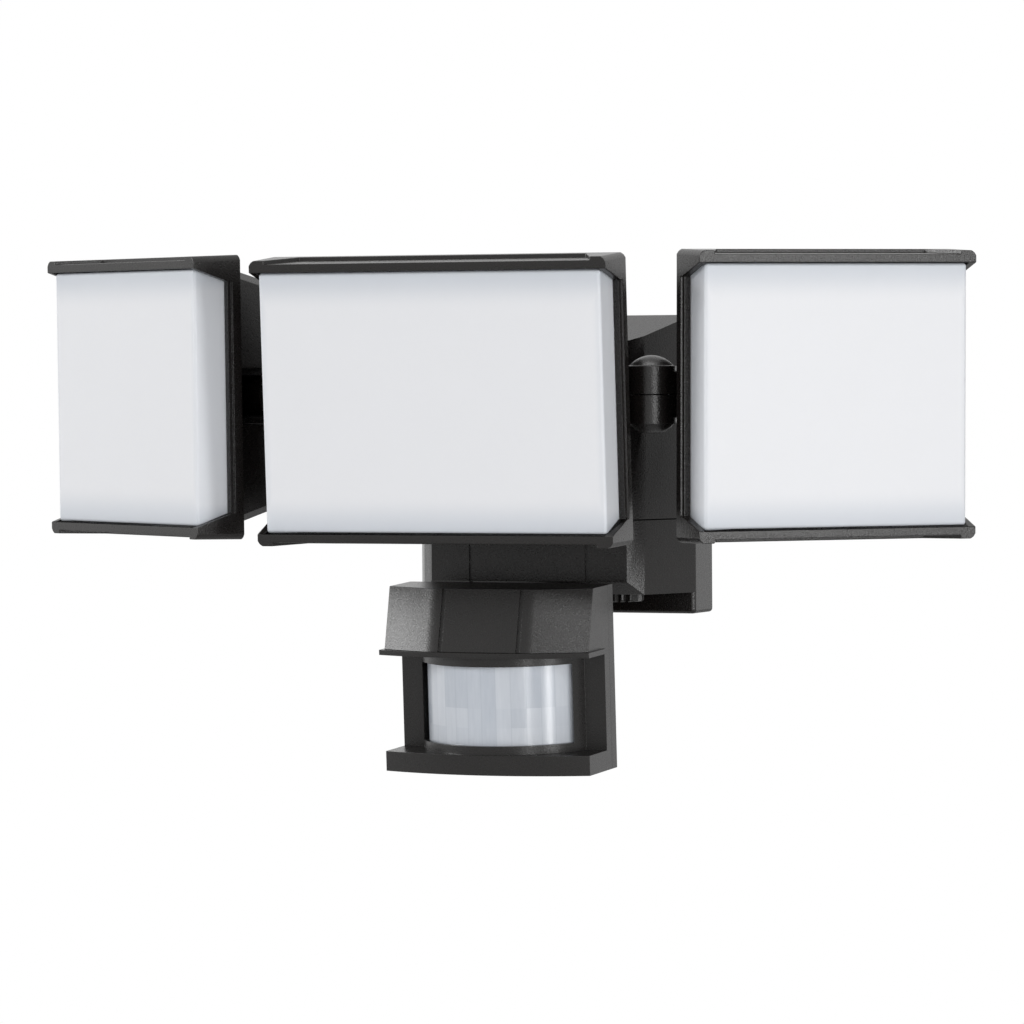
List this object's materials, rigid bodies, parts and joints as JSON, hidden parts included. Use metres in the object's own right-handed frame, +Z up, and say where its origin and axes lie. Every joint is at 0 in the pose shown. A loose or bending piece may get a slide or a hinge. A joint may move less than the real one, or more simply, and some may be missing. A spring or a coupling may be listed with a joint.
{
  "type": "motion sensor security light",
  "caption": "Wall-mounted LED security light with pivoting rectangular lamp heads, a square wall canopy and an adjustable motion sensor below.",
  "frame": {"origin": "centre of the mounting strap's back face, which lies on the wall at the middle of the square canopy", "axes": "+Y into the wall, -Y is the way the light faces, +Z up, +X to the viewer's right"},
  "size_m": [0.375, 0.1475, 0.1968],
  "materials": {
    "dark_powder_coat": "fine-textured dark bronze powder coat",
    "dark_plastic": "dark bronze moulded plastic, fine texture",
    "opal_diffuser": "frosted opal polycarbonate",
    "sensor_window": "milky moulded polyethylene lens, fine facets",
    "gasket_rubber": "matte closed-cell foam rubber",
    "zinc_steel": "zinc-plated steel",
    "blackened_steel": "black-oxide steel",
    "green_screw": "green dyed earth screw",
    "driver_case": "white moulded driver case",
    "terminal_plastic": "ivory moulded plastic",
    "led_board": "white solder mask on aluminium core",
    "led_phosphor": "yellow phosphor silicone",
    "heat_plate": "plain rolled aluminium",
    "circuit_board": "green solder mask",
    "nickel_can": "nickel-plated can",
    "dial_plastic": "dark grey moulded plastic"
  },
  "bodies": {
    "base": {"wall_canopy": "dark_powder_coat", "wall_gasket": "gasket_rubber", "mounting_strap": "zinc_steel", "ground_screw": "green_screw", "canopy_side_screws": "blackened_steel", "junction_housing": "dark_powder_coat", "sensor_carrier": "dark_powder_coat", "carrier_cap_nuts": "dark_plastic", "housing_screws": "zinc_steel", "led_driver": "driver_case", "terminal_block": "terminal_plastic", "left_arm": "dark_powder_coat", "centre_arm": "dark_powder_coat", "right_arm": "dark_powder_coat", "arm_lock_nuts": "zinc_steel", "knuckle_bolts": "blackened_steel"},
    "left_swivel": {"left_swivel": "dark_powder_coat", "left_pivot_nut": "zinc_steel"},
    "left_head": {"left_frame": "dark_powder_coat", "left_diffuser": "opal_diffuser", "left_led_board": "led_board", "left_led_chips": "led_phosphor", "left_heat_plate": "heat_plate", "left_lamp_back": "dark_powder_coat", "left_lamp_gasket": "gasket_rubber", "left_lamp_screws": "blackened_steel"},
    "centre_swivel": {"centre_swivel": "dark_powder_coat", "centre_pivot_nuts": "zinc_steel"},
    "centre_head": {"centre_frame": "dark_powder_coat", "centre_diffuser": "opal_diffuser", "centre_led_board": "led_board", "centre_led_chips": "led_phosphor", "centre_heat_plate": "heat_plate", "centre_lamp_back": "dark_powder_coat", "centre_lamp_gasket": "gasket_rubber", "centre_lamp_screws": "blackened_steel"},
    "right_swivel": {"right_swivel": "dark_powder_coat", "right_pivot_nut": "zinc_steel"},
    "right_head": {"right_frame": "dark_powder_coat", "right_diffuser": "opal_diffuser", "right_led_board": "led_board", "right_led_chips": "led_phosphor", "right_heat_plate": "heat_plate", "right_lamp_back": "dark_powder_coat", "right_lamp_gasket": "gasket_rubber", "right_lamp_screws": "blackened_steel"},
    "sensor_swivel": {"sensor_swivel": "dark_powder_coat", "sensor_swivel_nut": "zinc_steel"},
    "sensor_head": {"sensor_front": "dark_plastic", "sensor_rear": "dark_plastic", "sensor_lens": "sensor_window", "sensor_board": "circuit_board", "pir_element": "nickel_can", "sensor_screws": "blackened_steel", "sensor_tilt_bolt": "blackened_steel"},
    "time_dial": {"time_dial": "dial_plastic"},
    "range_dial": {"range_dial": "dial_plastic"},
    "dusk_dial": {"dusk_dial": "dial_plastic"}
  },
  "joints": [
    {"name": "left_pan", "type": "hinge", "parent": "base", "child": "left_swivel", "pos_m": [-0.073, -0.1, 0.0275], "axis": [0, 0, 1], "range_deg": [-24, 32]},
    {"name": "left_tilt", "type": "hinge", "parent": "left_swivel", "child": "left_head", "pos_m": [-0.073, -0.1, 0.0275], "axis": [0.8453, -0.5344, 0], "range_deg": [-15, 25]},
    {"name": "centre_pan", "type": "hinge", "parent": "base", "child": "centre_swivel", "pos_m": [0, -0.1, 0.0275], "axis": [0, 0, 1], "range_deg": [-9, 5]},
    {"name": "centre_tilt", "type": "hinge", "parent": "centre_swivel", "child": "centre_head", "pos_m": [0, -0.1, 0.0275], "axis": [0.9994, 0.0349, 0], "range_deg": [-15, 25]},
    {"name": "right_pan", "type": "hinge", "parent": "base", "child": "right_swivel", "pos_m": [0.073, -0.1, 0.0275], "axis": [0, 0, 1], "range_deg": [-44, 12]},
    {"name": "right_tilt", "type": "hinge", "parent": "right_swivel", "child": "right_head", "pos_m": [0.073, -0.1, 0.0275], "axis": [0.7133, 0.7009, 0], "range_deg": [-15, 25]},
    {"name": "sensor_pan", "type": "hinge", "parent": "base", "child": "sensor_swivel", "pos_m": [0, -0.029, -0.0493], "axis": [0, 0, 1], "range_deg": [-14, 14]},
    {"name": "sensor_tilt", "type": "hinge", "parent": "sensor_swivel", "child": "sensor_head", "pos_m": [0, -0.05, -0.082], "axis": [1, 0, 0], "range_deg": [-6, 25]},
    {"name": "time_dial_turn", "type": "hinge", "parent": "sensor_head", "child": "time_dial", "pos_m": [-0.018, -0.07732, -0.11487], "axis": [0, 0.0523, -0.9986], "range_deg": [0, 270]},
    {"name": "range_dial_turn", "type": "hinge", "parent": "sensor_head", "child": "range_dial", "pos_m": [0, -0.07732, -0.11487], "axis": [0, 0.0523, -0.9986], "range_deg": [0, 270]},
    {"name": "dusk_dial_turn", "type": "hinge", "parent": "sensor_head", "child": "dusk_dial", "pos_m": [0.018, -0.07732, -0.11487], "axis": [0, 0.0523, -0.9986], "range_deg": [0, 270]}
  ]
}
